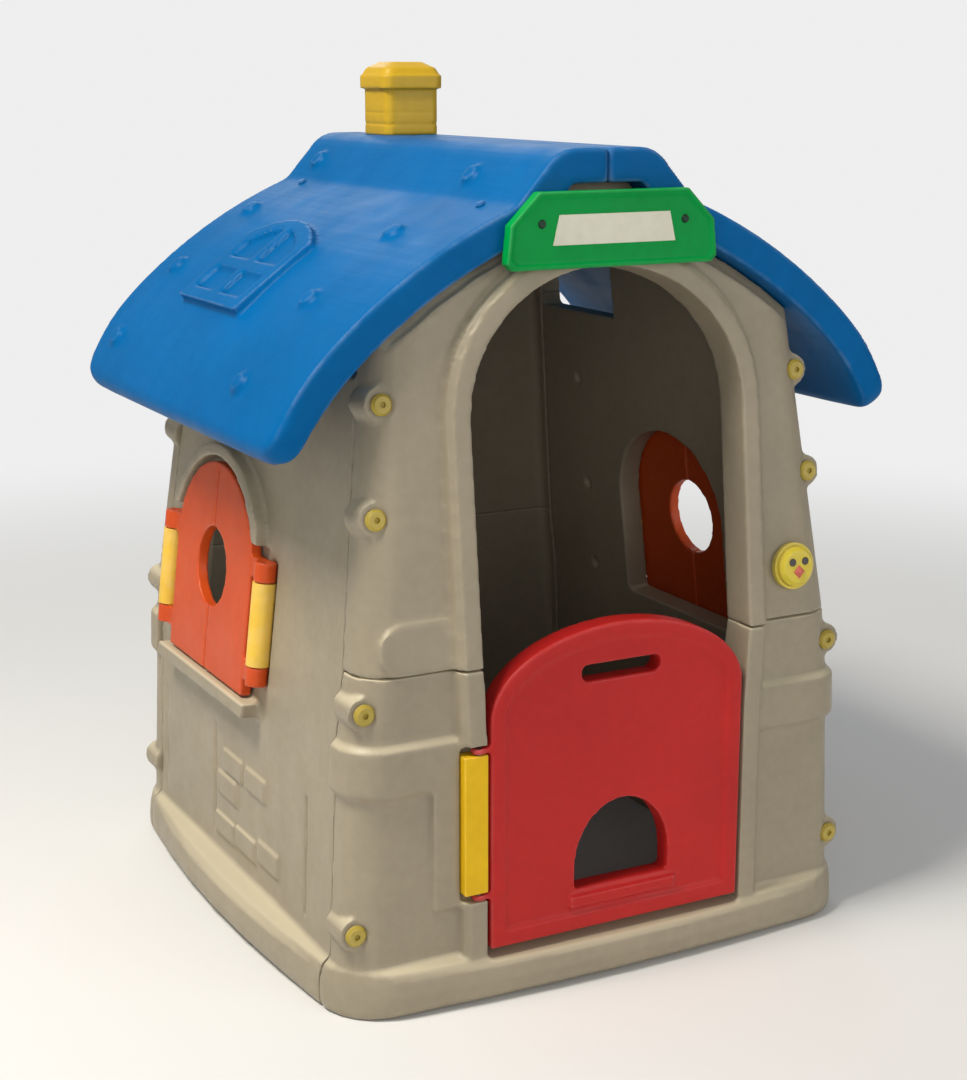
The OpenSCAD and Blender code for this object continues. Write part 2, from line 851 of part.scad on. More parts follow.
door_half_w = door_low_half_w - door_gap;
door_foot_z = threshold_z + door_floor_gap;
trim_face_y = -half_d - trim_out;
door_face_y = trim_face_y + 1;
door_pin_x = -door_low_half_w - tab_r - 1;
door_pin_y = trim_face_y + 10;
hinge_back_y = -door_pin_y - tab_r - 8;
ledge_w = 190;
ledge_h = 18;
ledge_gap = 10;
ledge_out = 7;
panel_depth = 5;
pet_side_h = 34;
slot_shift = 3;
pet_shift = 9;

module door_shape(inset) {
    hw = door_half_w - inset;
    arch_shape(hw, door_foot_z + inset, door_shoulder_z, door_top_z - door_shoulder_z - inset);
}
module slot_shape() {
    r = slot_h / 2;
    for (s = [-1, 1]) translate([s * (slot_len / 2 - r), slot_z]) circle(r = r);
    translate([r - slot_len / 2, slot_z - r]) square([slot_len - 2 * r, slot_h]);
}
module pet_shape() {
    spring = pet_z + pet_side_h;
    arch_shape(pet_half_w, pet_z, spring, pet_top_z - spring);
}
module door_tab(z) {
    reach = -door_half_w - door_pin_x + 15;
    translate([door_pin_x, door_pin_y, z]) cylinder(h = tab_t, r = tab_r);
    translate([door_pin_x, door_pin_y - tab_r + 3, z]) cube([reach, 2 * tab_r - 3, tab_t]);
}
module half_door() {
    color(red) difference() {
        union() {
            translate([0, door_face_y, 0]) rotate([90, 0, 0]) {
                translate([0, 0, -door_t]) linear_extrude(door_t - panel_depth) door_shape(0);
                translate([0, 0, -door_t / 2]) linear_extrude(door_t / 2) difference() {
                    door_shape(0);
                    door_shape(door_border);
                }
                translate([pet_shift - ledge_w / 2, pet_z - ledge_h - ledge_gap, -door_t / 2])
                    cube([ledge_w, ledge_h, door_t / 2 + ledge_out - panel_depth]);
            }
            door_tab(door_hinge_z - notch_gap - tab_t);
            door_tab(door_hinge_z + door_hinge_len + notch_gap);
        }
        translate([0, door_face_y + door_t + 5, 0]) rotate([90, 0, 0]) linear_extrude(2 * door_t) {
            translate([slot_shift, 0]) slot_shape();
            translate([pet_shift, 0]) pet_shape();
        }
        translate([door_pin_x, door_pin_y, 0]) cylinder(h = far, r = pin_r + pin_play);
    }
}
module door_hinge_block() {
    front_y = trim_face_y + 0.5;
    color(yellow) difference() {
        translate([-door_low_half_w - trim_w, front_y, door_hinge_z])
            cube([trim_w - 2 * seat, -hinge_back_y - seat - front_y, door_hinge_len]);
        translate([door_pin_x, door_pin_y, 0]) cylinder(h = far, r = pin_r + pin_play);
    }
}
module door_hinge_pin() {
    foot = door_hinge_z - notch_gap - tab_t + 1;
    color("silver") translate([door_pin_x, door_pin_y, foot])
        cylinder(h = door_hinge_len + 2 * notch_gap + 2 * tab_t - 2, r = pin_r);
}

// ---- roof ----

function on_main(deg) = main_c + main_r * [sin(deg), cos(deg)];
function on_eave(deg) = eave_c + eave_r * [sin(deg), cos(deg)];
bump_spots = [
    [(steep_start + steep_end) / 2, steep_deg],
    [on_main(28.5), 28.5], [on_main(39), 39], [on_eave(55.5), 55.5]];
bump_cols = [85 - roof_len / 2, roof_len / 2 - 199];
skylight_y = -57;
skylight_deg = 36.5;
skylight_bar = 26;
skylight_rise = 42;
roof_screw_off = roof_len / 2 - 97;
roof_screw_cap_r = 8;
roof_screw_len = 72;

module on_slope(spot, y) {
    translate([spot[0][0], y, spot[0][1]]) rotate([0, spot[1], 0]) children();
}
// Skylight outline: X down the slope, arched at its upper end.
function skylight_points(inset) = let (hw = skylight_w / 2 - inset, foot = skylight_len / 2 - inset)
    concat([[foot, -hw], [foot, hw]],
           [for (i = [0:12]) let (t = 1 - i / 6) [-foot + skylight_rise * t * t, hw * t]]);
skylight_root = 12;
pane_depth = 8;
module skylight() {
    difference() {
        translate([0, 0, -skylight_root])
            linear_extrude(skylight_root + skylight_h) polygon(skylight_points(0));
        translate([0, 0, skylight_h - pane_depth]) linear_extrude(2 * pane_depth) difference() {
            polygon(skylight_points(skylight_bar));
            translate([-skylight_len, -skylight_bar / 2]) square([2 * skylight_len, skylight_bar]);
            translate([0, -skylight_w]) square([skylight_bar, 2 * skylight_w]);
        }
    }
}
sign_screw_len = 24;
sign_screw_z = sign_z + sign_h * 0.59;

module half_screw_holes() {
    for (y = [-roof_screw_off, roof_screw_off])
        on_slope([main_start, main_deg], y)
            translate([0, 0, -roof_screw_len - 1])
                cylinder(h = 2 * roof_screw_len, r = shank_r / 2 + hole_play);
}
module roof_screw_holes() {
    translate([0, roof_shift, 0]) {
        half_screw_holes();
        half_turn() half_screw_holes();
    }
}

// The panel's outline, seen square to the eave, with round corners at the eave's two ends.
module eave_outline() {
    down = roof_t / 2 - eave_corner_r;
    along = roof_len / 2 - eave_corner_r;
    polygon(concat([[-far, -roof_len / 2]],
                   corner(down, -along, eave_corner_r, 270),
                   corner(down, along, eave_corner_r, 0),
                   [[-far, roof_len / 2]]));
}

// The right half of the roof about its own middle; the left half is the same moulding turned round.
module roof_half() {
    color(roof_color) difference() {
        union() {
            intersection() {
                translate([seat / 2, 0, 0]) rotate([90, 0, 0])
                    linear_extrude(roof_len + 2, center = true) roof_section();
                translate([lip_c[0], 0, lip_c[1]]) rotate([0, eave_end_deg, 0])
                    linear_extrude(2 * far, center = true) eave_outline();
            }
            for (y = bump_cols, spot = bump_spots)
                on_slope(spot, y) translate([0, 0, -3])
                    cylinder(h = 3 + bump_h, r1 = bump_r + 2, r2 = bump_r - 6);
            on_slope([on_main(skylight_deg), skylight_deg], skylight_y) skylight();
        }
        half_screw_holes();
        for (s = [-1, 1])
            translate([sign_screw_x, s * roof_len / 2, sign_screw_z]) rotate([90, 0, 0])
                cylinder(h = 2 * sign_screw_len, r = shank_r / 2 + hole_play, center = true);
    }
}
module roof_right() {
    translate([0, roof_shift, 0]) roof_half();
}
module roof_left() {
    translate([0, roof_shift, 0]) half_turn() roof_half();
}
module roof_screw_pair() {
    for (y = [-roof_screw_off, roof_screw_off])
        on_slope([main_start, main_deg], y) {
            translate([0, 0, -roof_screw_len]) cylinder(h = roof_screw_len + 4, r = shank_r / 2);
            translate([0, 0, 1]) cylinder(h = 4, r1 = roof_screw_cap_r, r2 = roof_screw_cap_r - 2);
        }
}
module roof_screws() {
    color(roof_color) translate([0, roof_shift, 0]) {
        roof_screw_pair();
        half_turn() roof_screw_pair();
    }
}

// ---- chimney ----

courses = 4;
course_gap = 3;
chimney_corner_r = 14;
module rounded_square(w, r) {
    polygon([for (p = ring(w / 2, w / 2, r, [0, 0], 0)) [p[0], p[1]]]);
}
module chimney() {
    course_h = (stack_h - course_gap * courses) / courses;
    cap_w = chimney_w + 2 * cap_out;
    color(yellow) translate([0, chimney_y, crest_z]) {
        linear_extrude(stack_h + 1) rounded_square(chimney_w - 5, chimney_corner_r - 2);
        for (i = [0:courses - 1])
            translate([0, 0, i * (course_h + course_gap)])
                linear_extrude(course_h) rounded_square(chimney_w, chimney_corner_r);
        translate([0, 0, stack_h]) linear_extrude(cap_h * 0.5) rounded_square(cap_w, chimney_corner_r + 4);
        translate([0, 0, stack_h + cap_h * 0.5]) linear_extrude(cap_h * 0.28, scale = 0.88)
            rounded_square(cap_w - 4, chimney_corner_r + 4);
        translate([0, 0, stack_h + cap_h * 0.78]) linear_extrude(cap_h * 0.22, scale = 0.62)
            rounded_square((cap_w - 4) * 0.88, chimney_corner_r + 4);
    }
}

// ---- sign ----

roof_front_y = roof_shift - roof_len / 2;
sign_edge = 7;
sign_raise = 3;
module sign_outline(inset) {
    top = sign_z + sign_h - inset;
    foot = sign_z + inset;
    shoulder = sign_z + sign_h * 0.58;
    chamfer = 10;
    polygon([[-sign_half_w + inset + chamfer, foot], [sign_half_w - inset - chamfer, foot],
             [sign_half_w - inset, foot + chamfer], [sign_half_w - 6 - inset, shoulder],
             [sign_top_half_w - inset / 2, top], [inset / 2 - sign_top_half_w, top],
             [6 + inset - sign_half_w, shoulder], [inset - sign_half_w, foot + chamfer]]);
}
module on_sign() {
    translate([0, roof_front_y - seat, 0]) rotate([90, 0, 0]) children();
}
label_z = sign_z + sign_h * 0.31;
label_flare = 10;
label_t = 2.5;
module label_shape() {
    top_half_w = label_half_w - label_flare;
    polygon([[-label_half_w, label_z], [label_half_w, label_z],
             [top_half_w, label_z + label_h], [-top_half_w, label_z + label_h]]);
}
module sign_board() {
    color(green) on_sign() difference() {
        union() {
            linear_extrude(sign_t - sign_raise) sign_outline(0);
            linear_extrude(sign_t) difference() {
                sign_outline(0);
                sign_outline(sign_edge);
            }
        }
        for (s = [-1, 1])
            translate([s * sign_screw_x, sign_screw_z, -1])
                cylinder(h = sign_t + 2, r = shank_r / 2 + hole_play);
    }
}
module sign_label() {
    color(cream) on_sign() translate([0, 0, sign_t - sign_raise + seat / 3])
        linear_extrude(label_t) label_shape();
}
module sign_screws() {
    color(green) on_sign() for (s = [-1, 1])
        translate([s * sign_screw_x, sign_screw_z, 0]) {
            translate([0, 0, 2 - sign_screw_len])
                cylinder(h = sign_screw_len + sign_t - sign_raise, r = shank_r / 2);
            translate([0, 0, sign_t - sign_raise + seat / 3]) cylinder(h = 3, r1 = 6.5, r2 = 5);
        }
}

// ---- corner screws ----

cap_side_h = 4;
cap_bevel = 4;
drive_r = 5;
module corner_screw() {
    difference() {
        union() {
            translate([0, 0, -return_d - shank_reach])
                cylinder(h = return_d + shank_reach - ear_set + 2, r = shank_r);
            translate([0, 0, seat / 3 - ear_set]) cylinder(h = cap_side_h, r = cap_r);
            translate([0, 0, cap_side_h - ear_set])
                cylinder(h = cap_bevel, r1 = cap_r, r2 = cap_r - cap_bevel);
        }
        translate([0, 0, cap_side_h + 1 - ear_set]) cylinder(h = 10, r = drive_r, $fn = 6);
    }
}
module front_corner_screws() {
    color(yellow) at_screws(screw_z, [-1, 1]) corner_screw();
}
module back_corner_screws() {
    color(yellow) half_turn() at_screws(screw_z, [-1, 1]) corner_screw();
}

// ---- doorbell: a round chick's face ----

bell_floor = 3;
bell_rim_h = 9;
bell_rim_w = 5;
bell_play = 0.4;
button_r = bell_r - bell_rim_w - bell_play;
button_h = 15;
button_z = bell_floor + bell_travel + 0.5;
module at_bell() {
    upper_front() translate([bell_x, up_face(bell_z), 0]) children();
}
module doorbell_base() {
    color(yellow) at_bell() difference() {
        translate([0, 0, seat / 3]) cylinder(h = bell_rim_h, r = bell_r);
        translate([0, 0, bell_floor]) cylinder(h = bell_rim_h, r = bell_r - bell_rim_w);
    }
}
button_bevel = 6;
eye_r = 6;
eye_x = 12;
eye_y = 8;
eye_sink = 2;
beak_r = 11;
beak_y = -8;
face_z = button_z + button_h;
module doorbell_button() {
    color(yellow) at_bell() difference() {
        union() {
            translate([0, 0, button_z]) cylinder(h = button_h - button_bevel, r = button_r);
            translate([0, 0, face_z - button_bevel])
                cylinder(h = button_bevel, r1 = button_r, r2 = button_r - button_bevel);
        }
        for (s = [-1, 1])
            translate([s * eye_x, eye_y, face_z - eye_sink]) cylinder(h = far, r = eye_r + seat);
    }
}
module doorbell_eyes() {
    color([0.12, 0.08, 0.06]) at_bell() for (s = [-1, 1])
        translate([s * eye_x, eye_y, face_z - eye_sink + seat / 3]) cylinder(h = eye_sink + 1, r = eye_r);
}
module doorbell_beak() {
    color([0.86, 0.30, 0.12]) at_bell() translate([0, beak_y, face_z + seat / 3])
        cylinder(h = 5, r1 = beak_r, r2 = beak_r / 3, $fn = 4);
}

front_wall_upper();
front_wall_lower();
back_wall_upper();
back_wall_lower();
left_wall();
right_wall();
roof_left();
roof_right();
roof_screws();
chimney();
sign_board();
sign_label();
sign_screws();
front_corner_screws();
back_corner_screws();
half_door();
door_hinge_block();
door_hinge_pin();
shutter_left_front();
shutter_left_rear();
shutter_right_front();
shutter_right_rear();
barrel_left_front();
barrel_left_rear();
barrel_right_front();
barrel_right_rear();
shutter_hinge_pins();
doorbell_base();
doorbell_button();
doorbell_eyes();
doorbell_beak();
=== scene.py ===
"""Plastic playhouse: moulded skins, materials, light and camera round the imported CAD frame.

Metres, in the frame of the CAD model: X to the right along the front, Y to the back, Z up.
"""

import json
import math

import bmesh
import bpy
import numpy as np
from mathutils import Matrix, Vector


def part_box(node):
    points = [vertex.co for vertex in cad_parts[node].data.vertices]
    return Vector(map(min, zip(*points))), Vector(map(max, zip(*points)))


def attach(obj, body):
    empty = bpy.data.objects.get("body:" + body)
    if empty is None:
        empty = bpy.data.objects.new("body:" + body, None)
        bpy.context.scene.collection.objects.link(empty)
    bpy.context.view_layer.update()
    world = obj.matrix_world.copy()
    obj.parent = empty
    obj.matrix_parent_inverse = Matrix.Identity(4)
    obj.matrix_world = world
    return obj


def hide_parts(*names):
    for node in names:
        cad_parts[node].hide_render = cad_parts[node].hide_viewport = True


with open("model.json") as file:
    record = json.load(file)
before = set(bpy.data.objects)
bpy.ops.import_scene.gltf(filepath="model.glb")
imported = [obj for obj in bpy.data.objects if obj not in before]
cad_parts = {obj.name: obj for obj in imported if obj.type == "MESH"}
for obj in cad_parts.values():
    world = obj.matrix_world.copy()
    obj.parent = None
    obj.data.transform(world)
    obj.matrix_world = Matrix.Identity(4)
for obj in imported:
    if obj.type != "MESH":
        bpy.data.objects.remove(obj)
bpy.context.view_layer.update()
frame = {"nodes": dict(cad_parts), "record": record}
SCENE = bpy.context.scene

# ---- camera -----------------------------------------------------------------

CAMERA_AT = (-1.488, -2.854, 1.363)
CAMERA_YAW = 27.85  # degrees to the right of +Y
CAMERA_PITCH = -13.58  # degrees above the horizon
CAMERA_LENS = 64.53  # millimetres on a 36 mm sensor along the long side

camera = bpy.data.objects.new("camera", bpy.data.cameras.new("camera"))
camera.data.lens = CAMERA_LENS
camera.data.sensor_width = 36
camera.location = CAMERA_AT
camera.rotation_euler = (math.radians(90 + CAMERA_PITCH), 0, math.radians(-CAMERA_YAW))
SCENE.collection.objects.link(camera)
SCENE.camera = camera

# ---- materials --------------------------------------------------------------


def srgb(red, green, blue):
    """A colour on a 0 to 255 screen scale as linear RGBA."""

    def linear(v):
        v /= 255
        return v / 12.92 if v <= 0.04045 else ((v + 0.055) / 1.055) ** 2.4

    return (linear(red), linear(green), linear(blue), 1)


class Nodes:
    """A material's node tree, with short calls to add and link nodes."""

    def __init__(self, name):
        self.material = bpy.data.materials.new(name)
        self.material.use_nodes = True
        self.tree = self.material.node_tree
        self.tree.nodes.clear()

    def add(self, kind, links=(), **values):
        node = self.tree.nodes.new("ShaderNode" + kind)
        for key, value in values.items():
            if key in node.bl_rna.properties:
                setattr(node, key, value)
            else:
                node.inputs[key.replace("_", " ")].default_value = value
        for socket, source in dict(links).items():
            self.tree.links.new(source, node.inputs[socket])
        return node

    def ramp(self, fac, *stops):
        """A colour ramp through (place, colour) stops; a number stands for a grey."""
        node = self.add("ValToRGB", {"Fac": fac})
        elements = node.color_ramp.elements
        while len(elements) < len(stops):
            elements.new(0.5)
        for element, (place, colour) in zip(elements, stops):
            element.position = place
            element.color = colour if isinstance(colour, tuple) else (colour,) * 3 + (1,)
        return node.outputs["Color"]

    def noise(self, where, scale, detail=2.0, distortion=0.0):
        return self.add(
            "TexNoise", {"Vector": where}, Scale=scale, Detail=detail, Distortion=distortion
        ).outputs["Fac"]

    def mix(self, fac, a, b, blend="MIX"):
        node = self.add("Mix", data_type="RGBA", blend_type=blend)
        for socket, value in zip((node.inputs[0], node.inputs[6], node.inputs[7]), (fac, a, b)):
            if isinstance(value, bpy.types.NodeSocket):
                self.tree.links.new(value, socket)
            else:
                socket.default_value = value
        return node.outputs[2]


def shade(colour, by):
    """The colour times a number."""
    return tuple(c * by for c in colour[:3]) + (1,)


# Pale dust colour, also painted on up-facing faces as painted top light.
DUST_AND_TOP_LIGHT = srgb(226, 214, 182)
# How many blotches of each kind there are to a metre.
PIGMENT_SCALE, WAVE_SCALE, GLOSS_SCALE, RUB_AND_HIGHLIGHT_SCALE = 5.0, 9.0, 14.0, 25.0
SPECK_SCALE, PEEL_SCALE = 60.0, 330.0
GRAIN_SCALE = (90.0, 2.5, 90.0)  # stretched along the roof's depth
PIN_SCALE = (900.0, 900.0, 12.0)  # stretched along the pins
# Depth in metres of the orange peel, the waves and the grain.
PEEL_DEPTH, WAVE_DEPTH, GRAIN_DEPTH = 0.0006, 0.006, 0.002
PLASTIC_IOR = 1.49


def plastic(name, colour, rough=(0.34, 0.5), drift=0.10, peel=0.12, wave=0.25, rub_and_highlight=0.35,
            crease_shade=0.30, grain=0.0, gleam=0.4, dust_and_top_light=0.0):
    """Moulded plastic. The pigment drifts a little, the skin has a fine orange peel and slow
    waves, the gloss is uneven, outer edges are painted pale as rubbed wear and painted highlight,
    and inner corners and creases are painted darker as painted shade. grain draws fine lines from
    front to back, gleam is the strength of the gloss, and the last argument sets how much pale
    dusting and painted top light lies on what faces up."""
    n = Nodes(name)
    where = n.add("TexCoord").outputs["Object"]
    slow = n.noise(where, PIGMENT_SCALE, 3.0, 0.4)
    fine = n.noise(where, SPECK_SCALE, 4.0)
    base = n.ramp(slow, (0.3, shade(colour, 1 - drift)), (0.7, shade(colour, 1 + drift * 0.6)))
    speck = n.ramp(fine, (0.35, 0.94), (0.65, 1.0))
    base = n.mix(1.0, base, speck, "MULTIPLY")
    point = n.add("NewGeometry").outputs["Pointiness"]
    # Convex edges are painted pale: rubbed wear together with a painted highlight along the rims.
    wear_and_highlight = n.ramp(point, (0.52, 0.0), (0.60, 1.0))
    patchy = n.ramp(n.noise(where, RUB_AND_HIGHLIGHT_SCALE, 5.0), (0.4, 0.15), (0.65, rub_and_highlight))
    wear_and_highlight = n.mix(1.0, wear_and_highlight, patchy, "MULTIPLY")
    pale = tuple(c + (1 - c) * 0.35 for c in colour[:3]) + (1,)
    base = n.mix(wear_and_highlight, base, pale)
    # Creases and hollows are painted darker as painted shade.
    crease_shade_mask = n.ramp(point, (0.42, crease_shade), (0.49, 0.0))
    base = n.mix(crease_shade_mask, base, shade(colour, 0.35))
    # Faces that look up are painted paler: pale dust together with painted top light.
    if dust_and_top_light:
        upward = n.add("SeparateXYZ", {0: n.add("NewGeometry").outputs["Normal"]}).outputs["Z"]
        base = n.mix(n.ramp(upward, (0.35, 0.0), (0.8, dust_and_top_light)), base, DUST_AND_TOP_LIGHT)
    gloss = n.ramp(n.noise(where, GLOSS_SCALE, 4.0), (0.3, rough[0]), (0.7, rough[1]))
    skin = n.add("Bump", {"Height": n.noise(where, PEEL_SCALE, 1.0)},
                 Strength=peel, Distance=PEEL_DEPTH)
    sway = n.add("Bump", {"Height": n.noise(where, WAVE_SCALE, 1.0), "Normal": skin.outputs[0]},
                 Strength=wave, Distance=WAVE_DEPTH)
    if grain:
        drawn = n.add("Mapping", {"Vector": where}, Scale=GRAIN_SCALE).outputs[0]
        sway = n.add("Bump", {"Height": n.noise(drawn, 1.0, 3.0), "Normal": sway.outputs[0]},
                     Strength=grain, Distance=GRAIN_DEPTH)
    shader = n.add(
        "BsdfPrincipled",
        {"Base Color": base, "Roughness": gloss, "Normal": sway.outputs[0]},
        IOR=PLASTIC_IOR,
        Specular_IOR_Level=gleam,
    )
    n.add("OutputMaterial", {"Surface": shader.outputs[0]})
    return n.material


def steel(name):
    """Zinc-plated steel pins, drawn lengthwise."""
    n = Nodes(name)
    where = n.add("TexCoord").outputs["Object"]
    drawn = n.add("Mapping", {"Vector": where}, Scale=PIN_SCALE).outputs[0]
    lines = n.noise(drawn, 1.0, 3.0)
    base = n.ramp(lines, (0.3, (0.42, 0.43, 0.44, 1)), (0.7, (0.62, 0.62, 0.6, 1)))
    gloss = n.ramp(lines, (0.3, 0.28), (0.7, 0.42))
    bump = n.add("Bump", {"Height": lines}, Strength=0.15, Distance=0.0003)
    shader = n.add(
        "BsdfPrincipled",
        {"Base Color": base, "Roughness": gloss, "Normal": bump.outputs[0]},
        Metallic=1.0,
    )
    n.add("OutputMaterial", {"Surface": shader.outputs[0]})
    return n.material


MATERIALS = {
    # The walls' paler up-facing faces are dust and painted top light.
    "wall": plastic("wall_plastic", srgb(156, 145, 124), drift=0.07, gleam=0.3, dust_and_top_light=0.55),
    # The roof's pale edges are mostly painted highlight, and its darker creases are painted
    # shade.
    "roof": plastic("roof_plastic", srgb(0, 95, 157), rough=(0.34, 0.46), drift=0.08, rub_and_highlight=0.7,
                    crease_shade=0.6, grain=0.2, gleam=0.06),
    "yellow": plastic("yellow_plastic", srgb(230, 184, 24), rough=(0.28, 0.4), gleam=0.2),
    "ochre": plastic("ochre_plastic", srgb(196, 158, 34), rough=(0.3, 0.42), gleam=0.3),
    "cap": plastic("cap_plastic", srgb(178, 156, 62), rough=(0.34, 0.46), gleam=0.3),
    "lemon": plastic("lemon_plastic", srgb(214, 192, 48), rough=(0.28, 0.4), gleam=0.3),
    "green": plastic("green_plastic", srgb(0, 150, 66), rough=(0.3, 0.42), gleam=0.1),
    "label": plastic("label_plastic", srgb(212, 210, 188), rough=(0.3, 0.4), drift=0.04),
    "red": plastic("red_plastic", srgb(186, 34, 32), rough=(0.34, 0.46), drift=0.08, gleam=0.25),
    "orange": plastic("orange_plastic", srgb(204, 76, 24), rough=(0.34, 0.46), drift=0.08,
                      gleam=0.3),
    # The sign screws are painted near-black green as painted shade in their sockets.
    "socket": plastic("screw_socket_shade_plastic", srgb(2, 48, 26), rough=(0.4, 0.5), rub_and_highlight=0.1, gleam=0.1),
    "pin_steel": steel("pin_steel_plated"),
    "dark": plastic("dark_plastic", srgb(40, 26, 20), rough=(0.25, 0.35), rub_and_highlight=0.1),
    "beak": plastic("beak_plastic", srgb(196, 62, 26), rough=(0.28, 0.4)),
}
SLOT_OF = {part["node"]: part["material_slot"] for part in frame["record"]["subparts"]}
# Nodes that came out in a shade of their own slot's colour.
SHADE_OF = {
    "chimney": "ochre", "front_corner_screws": "cap", "back_corner_screws": "cap",
    # sign_screws take a near-black green: painted shade in their screw sockets.
    "doorbell_button": "lemon", "doorbell_base": "lemon", "sign_screws": "socket",
}
BODY_OF = {
    node: body
    for body, nodes in frame["record"]["behaviour"]["bodies"].items()
    for node in nodes
}


def dress(obj, node):
    """The object gets the material of a CAD node on all its faces."""
    obj.data.materials.clear()
    obj.data.materials.append(MATERIALS[SHADE_OF.get(node, SLOT_OF[node])])


for name, obj in frame["nodes"].items():
    dress(obj, name)

# ---- moulded skins: the CAD panels with the soft edges of blow moulding -------

SMOOTH_STEP = 0.5  # how far one round of smoothing moves a point towards its neighbours
WELD_REACH = 1e-5


def corners_near(node, reach):
    """Weights that are 1 at the lower outer corners of a roof half and 0 at a reach from them."""
    low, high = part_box(node)
    outer = low[0] if abs(low[0]) > abs(high[0]) else high[0]

    def weights(places):
        spots = [np.array((outer, y, low[2])) for y in (low[1], high[1])]
        away = np.min([np.linalg.norm(places - spot, axis=1) for spot in spots], axis=0)
        return np.clip(1.5 * (1 - away / reach), 0, 1)

    return weights


def baked(piece):
    """The piece's mesh becomes what its modifiers make of it."""
    graph = bpy.context.evaluated_depsgraph_get()
    mesh = bpy.data.meshes.new_from_object(piece.evaluated_get(graph))
    piece.modifiers.clear()
    piece.data = mesh
    return mesh


def places_of(mesh):
    """The mesh's points as rows of X, Y, Z."""
    flat = np.empty(len(mesh.vertices) * 3)
    mesh.vertices.foreach_get("co", flat)
    return flat.reshape(-1, 3)


def soften(piece, weights, rounds):
    """More rounding where the weights say."""
    group = piece.vertex_groups.new(name="soft")
    for index, weight in enumerate(weights(places_of(piece.data))):
        if weight > 0:
            group.add([index], float(weight), "REPLACE")
    smooth = piece.modifiers.new("soft", "SMOOTH")
    smooth.factor = SMOOTH_STEP
    smooth.iterations = rounds
    smooth.vertex_group = group.name
    baked(piece)
    piece.vertex_groups.clear()


WALL_VOXEL, WALL_ROUNDS, WALL_INSET = 0.004, 3, 0.0012
ROOF_VOXEL, ROOF_ROUNDS = 0.0042, 4
EAVE_REACH, EAVE_ROUNDS = 0.12, 50  # the softer lower corners of the roof halves
SEAM_GROOVE = 0.012  # how deep the seam between the halves of an end wall stays open
SEAM_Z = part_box("back_wall_upper")[0][2]
SEAM_REACH = 0.01  # how far above and below the seam its faces are looked for
LEVEL_FACE = 0.7  # the least upright share of a level face's normal


def wall_inset(places, normals):
    """How far each point of a wall is drawn in: the seam between two halves closes behind
    its groove, so that no light comes through it."""
    corner = np.array(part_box("back_wall_upper")[1])
    flat = np.abs(normals[:, 2]) > LEVEL_FACE
    level = np.abs(places[:, 2] - SEAM_Z) < SEAM_REACH
    deep = np.all(np.abs(places[:, :2]) < corner[:2] - SEAM_GROOVE, axis=1)
    return np.where(flat & level & deep, 0, WALL_INSET)[:, None]


def moulded(node, voxel, rounds, inset=None, soft=None, soft_rounds=0):
    """A copy of a CAD panel with its edges rounded over, which stands for the node.
    inset tells how far each point is drawn in, which opens the seams between panels;
    soft gives the weights of a second rounding."""
    source = frame["nodes"][node]
    piece = bpy.data.objects.new(node + "_skin", source.data.copy())
    SCENE.collection.objects.link(piece)
    weld = piece.modifiers.new("weld", "WELD")
    weld.merge_threshold = WELD_REACH
    remesh = piece.modifiers.new("remesh", "REMESH")
    remesh.mode = "VOXEL"
    remesh.voxel_size = voxel
    remesh.use_smooth_shade = True
    smooth = piece.modifiers.new("smooth", "SMOOTH")
    smooth.factor = SMOOTH_STEP
    smooth.iterations = rounds
    baked(piece)
    if soft:
        soften(piece, soft, soft_rounds)
    mesh = piece.data
    if inset:
        normals = np.array([v.vector for v in mesh.vertex_normals])
        places = places_of(mesh)
        places -= inset(places, normals) * normals
        mesh.vertices.foreach_set("co", places.ravel())
        mesh.update()
    mesh.polygons.foreach_set("use_smooth", [True] * len(mesh.polygons))
    dress(piece, node)
    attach(piece, BODY_OF[node])
    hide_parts(node)
    return piece


for name in (
    "front_wall_upper", "front_wall_lower", "back_wall_upper", "back_wall_lower",
    "left_wall", "right_wall",
):
    moulded(name, WALL_VOXEL, WALL_ROUNDS, wall_inset)
for name in ("roof_left", "roof_right"):
    moulded(name, ROOF_VOXEL, ROOF_ROUNDS, soft=corners_near(name, EAVE_REACH),
            soft_rounds=EAVE_ROUNDS)
for name, voxel, rounds in (
    ("half_door", 0.0032, 4),
    ("shutter_left_front", 0.0026, 4),
    ("shutter_left_rear", 0.0026, 4),
    ("shutter_right_front", 0.0026, 4),
    ("shutter_right_rear", 0.0026, 4),
    ("chimney", 0.002, 6),
    ("sign_board", 0.002, 4),
    ("door_hinge_block", 0.0016, 4),
):
    moulded(name, voxel, rounds)

# ---- floor, world and lamps --------------------------------------------------

FLOOR_RADIUS = 30.0
FLOOR_FADE = (1.6, 4.0)  # the floor turns into the backdrop between these distances
BACKDROP = 0.86  # how pale the floor and the world behind it look
SKY_STRENGTH = 0.31
MIDDLE = (0, 0, 0.7)  # what the lamps are turned towards


def pale_world():
    """An even sky that lights the object, and a plain pale one that the camera sees."""
    world = bpy.data.worlds.new("studio")
    world.use_nodes = True
    SCENE.world = world
    tree = world.node_tree
    tree.nodes.clear()
    path = tree.nodes.new("ShaderNodeLightPath")
    seen = tree.nodes.new("ShaderNodeBackground")
    seen.inputs["Color"].default_value = (BACKDROP, BACKDROP, BACKDROP, 1)
    lit = tree.nodes.new("ShaderNodeBackground")
    lit.inputs["Color"].default_value = (0.93, 0.96, 1.0, 1)
    lit.inputs["Strength"].default_value = SKY_STRENGTH
    mix = tree.nodes.new("ShaderNodeMixShader")
    out = tree.nodes.new("ShaderNodeOutputWorld")
    tree.links.new(path.outputs["Is Camera Ray"], mix.inputs[0])
    tree.links.new(lit.outputs[0], mix.inputs[1])
    tree.links.new(seen.outputs[0], mix.inputs[2])
    tree.links.new(mix.outputs[0], out.inputs[0])


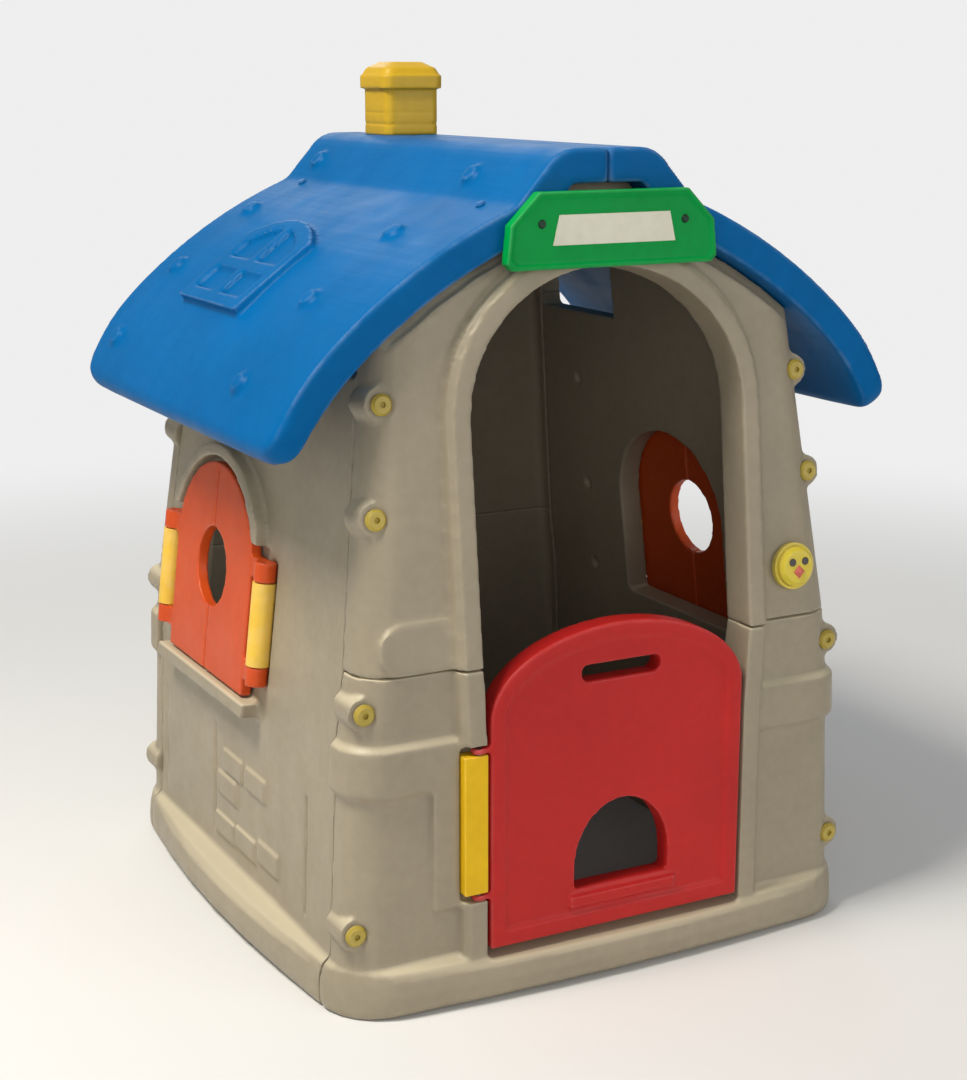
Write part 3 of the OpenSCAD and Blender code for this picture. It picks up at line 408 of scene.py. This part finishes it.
def floor():
    """A pale disc that keeps the shadow and fades into the backdrop far out."""
    mesh = bpy.data.meshes.new("floor")
    disc = bmesh.new()
    bmesh.ops.create_circle(disc, cap_ends=True, radius=FLOOR_RADIUS, segments=96)
    disc.to_mesh(mesh)
    disc.free()
    obj = bpy.data.objects.new("floor", mesh)
    SCENE.collection.objects.link(obj)
    n = Nodes("floor_paint")
    where = n.add("TexCoord").outputs["Object"]
    far = n.add("VectorMath", {0: where}, operation="LENGTH").outputs["Value"]
    fade = n.add("MapRange", {"Value": far})
    fade.inputs["From Min"].default_value = FLOOR_FADE[0]
    fade.inputs["From Max"].default_value = FLOOR_FADE[1]
    fade.interpolation_type = "SMOOTHSTEP"
    seen = n.add("LightPath").outputs["Is Camera Ray"]
    both = n.add("Math", {0: fade.outputs[0], 1: seen}, operation="MULTIPLY").outputs[0]
    paint = n.add("BsdfDiffuse", Color=(0.80, 0.80, 0.79, 1))
    glow = n.add("Emission", Color=(BACKDROP, BACKDROP, BACKDROP, 1), Strength=1.0)
    mixed = n.add("MixShader", {0: both, 1: paint.outputs[0], 2: glow.outputs[0]})
    n.add("OutputMaterial", {"Surface": mixed.outputs[0]})
    obj.data.materials.append(n.material)


def lamp(name, at, target, size, watts, colour=(1, 1, 1)):
    """A square soft box at a place, turned towards a target."""
    light = bpy.data.lights.new(name, "AREA")
    light.shape = "SQUARE"
    light.size = size
    light.energy = watts
    light.color = colour
    obj = bpy.data.objects.new(name, light)
    obj.location = at
    obj.rotation_euler = (Vector(target) - Vector(at)).to_track_quat("-Z", "Y").to_euler()
    SCENE.collection.objects.link(obj)


pale_world()
floor()
lamp("key", (-2.2, -0.5, 4.0), MIDDLE, 1.2, 164, (1.0, 0.95, 0.86))
lamp("fill", (-4.2, -8.0, 2.0), MIDDLE, 4.6, 130, (1.0, 0.98, 0.95))
lamp("right", (4.0, -7.5, 2.6), MIDDLE, 4.6, 152, (1.0, 0.98, 0.95))
lamp("left", (-4.4, 0.2, 1.3), MIDDLE, 2.6, 14, (1.0, 0.97, 0.92))
lamp("back", (1.6, 4.2, 3.2), MIDDLE, 2.6, 30)

SCENE.view_settings.view_transform = "Standard"
